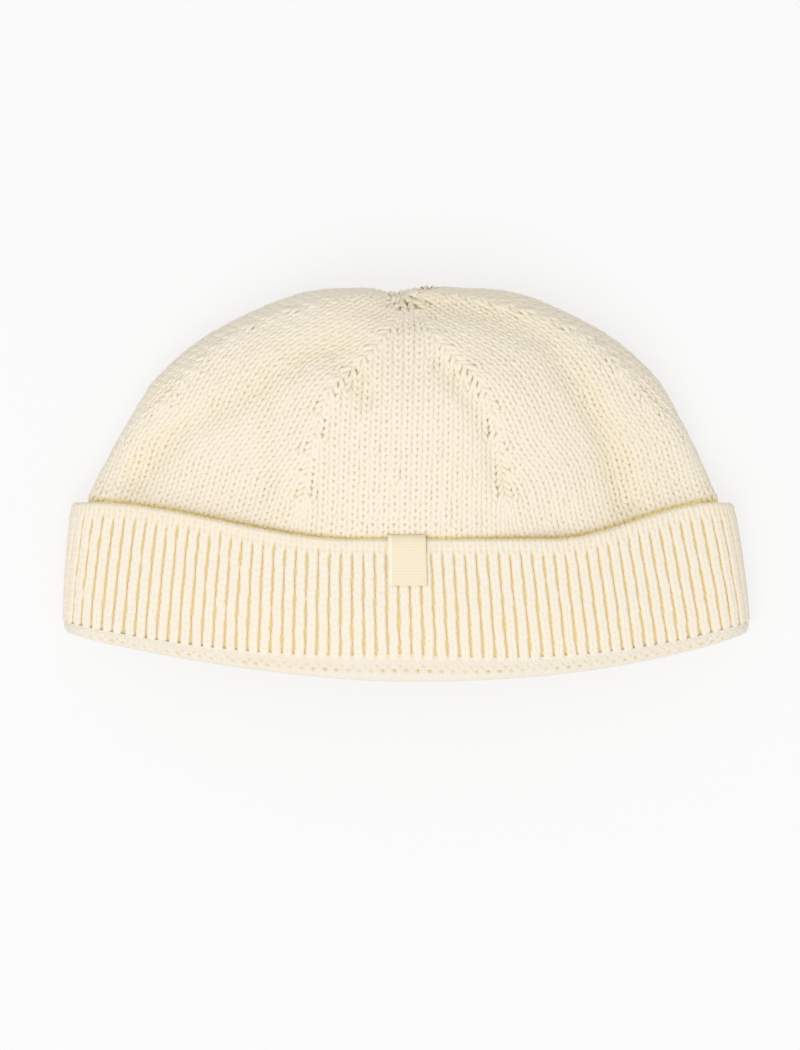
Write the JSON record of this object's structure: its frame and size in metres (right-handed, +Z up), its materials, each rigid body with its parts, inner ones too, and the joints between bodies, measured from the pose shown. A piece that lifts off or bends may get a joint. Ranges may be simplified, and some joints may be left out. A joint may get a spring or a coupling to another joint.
{
  "type": "fisherman beanie",
  "caption": "Short knitted beanie with a smooth jersey crown, a turned-up ribbed cuff and a small folded label, lying flat and lightly puffed.",
  "frame": {"origin": "middle of the outline of the lying cap, on the surface that it rests on", "axes": "+X across the cap to its right side as seen from the front, +Y from the hem to the top of the crown, +Z up from the surface through the front"},
  "size_m": [0.2299, 0.1327, 0.048],
  "materials": {
    "jersey_knit": "smooth-knitted cream wool, matt with a soft fuzz",
    "rib_knit": "rib-knitted cream wool, matt, warmer in the grooves",
    "label_tape": "woven beige tape with fine cross ribs"
  },
  "bodies": {
    "root": {"crown": "jersey_knit", "cuff": "rib_knit", "label": "label_tape"}
  },
  "joints": []
}
